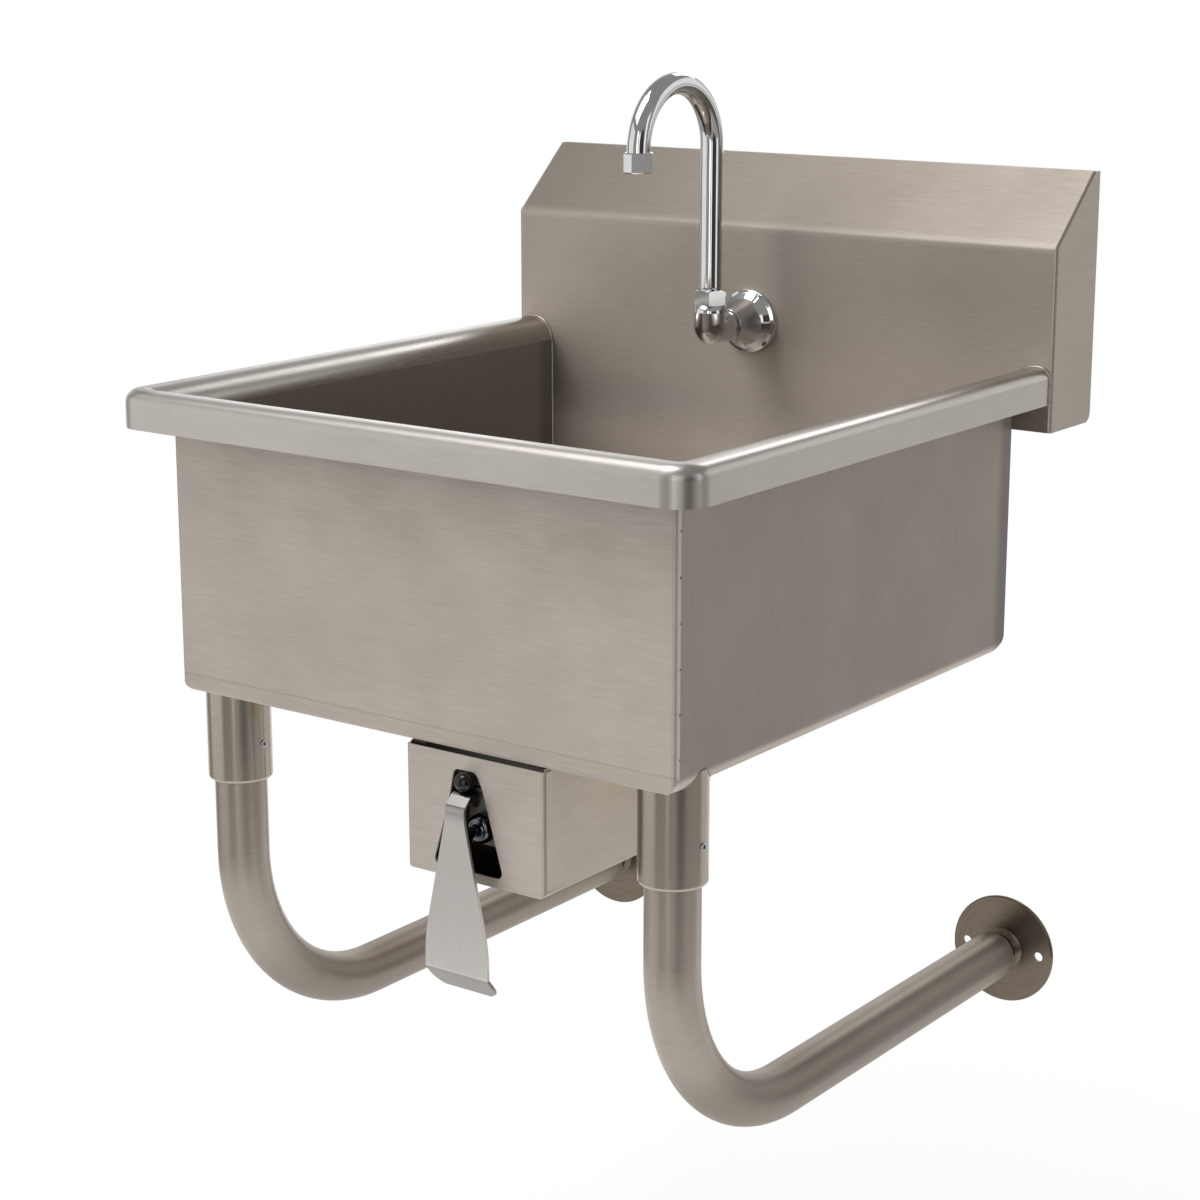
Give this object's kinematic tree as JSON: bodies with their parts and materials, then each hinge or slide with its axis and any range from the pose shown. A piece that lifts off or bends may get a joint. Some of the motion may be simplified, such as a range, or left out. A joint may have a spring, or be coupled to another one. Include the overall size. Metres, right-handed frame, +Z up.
{
  "type": "wall-hung hand sink",
  "caption": "Wall-hung stainless hand sink with rolled rim, slanted backsplash, J-shaped brace legs to the wall, swivelling gooseneck tap and a knee pedal that pushes a valve stem",
  "frame": {"origin": "midway between the two holes of the wall hanger, on the wall plane", "axes": "+X to the right of a person facing the sink, +Y into the wall, +Z up"},
  "size_m": [0.534, 0.578, 0.8],
  "materials": {
    "stainless_sheet": "fine straight-grain brushed stainless sheet",
    "stainless_tube": "satin brushed stainless tube",
    "drain_steel": "polished stainless pressing",
    "hanger_steel": "plain mill-finish strip",
    "pedal_steel": "satin plate with a polished neck",
    "chrome_plate": "polished chrome plate",
    "zinc_screws": "bright zinc plate",
    "brass": "machined brass",
    "black_rubber": "moulded black rubber",
    "grey_plastic": "moulded aerator screen"
  },
  "bodies": {
    "sink": {"bowl_wrap": "stainless_sheet", "bowl_front": "stainless_sheet", "rolled_rim": "stainless_sheet", "backsplash": "stainless_sheet", "splash_end_left": "stainless_sheet", "splash_end_right": "stainless_sheet", "wall_hanger": "hanger_steel", "drain_flange": "drain_steel", "drain_gasket": "black_rubber", "drain_locknut": "brass", "tailpiece": "chrome_plate", "tailpiece_nut": "chrome_plate", "leg_socket_left": "stainless_tube", "leg_socket_right": "stainless_tube", "socket_screws": "zinc_screws", "leg_left": "stainless_tube", "leg_right": "stainless_tube", "leg_insert_left": "stainless_tube", "leg_insert_right": "stainless_tube", "valve_box": "stainless_sheet", "box_front": "stainless_sheet", "pedal_pin": "zinc_screws", "pivot_bracket": "chrome_plate", "pedal_bumper": "black_rubber", "valve_body": "chrome_plate", "valve_bonnet": "chrome_plate", "stem_seal": "black_rubber", "supply_nipples": "brass", "outlet_nipple": "brass", "valve_screws": "zinc_screws", "tap_flange": "chrome_plate", "tap_shank": "brass", "shank_washer": "black_rubber", "shank_locknut": "brass", "tap_elbow": "chrome_plate", "swivel_nut": "chrome_plate"},
    "pedal": {"knee_pedal": "pedal_steel"},
    "stem": {"valve_stem": "chrome_plate"},
    "spout": {"gooseneck": "chrome_plate", "aerator_housing": "chrome_plate", "aerator_insert": "grey_plastic"},
    "basket": {"strainer_basket": "drain_steel"},
    "foot_left": {"wall_flange_left": "stainless_tube"},
    "foot_right": {"wall_flange_right": "stainless_tube"}
  },
  "joints": [
    {"name": "knee_pedal_pivot", "type": "hinge", "parent": "sink", "child": "pedal", "pos_m": [0.051, -0.525, -0.368], "axis": [1, 0, 0], "range_deg": [0, 8], "stiffness_Nm_per_rad": 6, "springref_deg": -8.59},
    {"name": "stem_slide", "type": "slide", "parent": "sink", "child": "stem", "axis": [0, 1, 0], "range_m": [0, 0.005]},
    {"name": "spout_swivel", "type": "hinge", "parent": "sink", "child": "spout", "pos_m": [-0.02, -0.13, -0.05], "axis": [0, 0, 1], "range_deg": [-80, 80]},
    {"name": "basket_lift", "type": "slide", "parent": "sink", "child": "basket", "axis": [0, 0, 1], "range_m": [0, 0.06]},
    {"name": "foot_left_adjust", "type": "slide", "parent": "sink", "child": "foot_left", "axis": [0, 1, 0], "range_m": [-0.012, 0]},
    {"name": "foot_right_adjust", "type": "slide", "parent": "sink", "child": "foot_right", "axis": [0, 1, 0], "range_m": [-0.012, 0]}
  ],
  "couplings": [
    {"joint": "stem_slide", "follows": "knee_pedal_pivot", "m_per_rad": 0.03545}
  ]
}
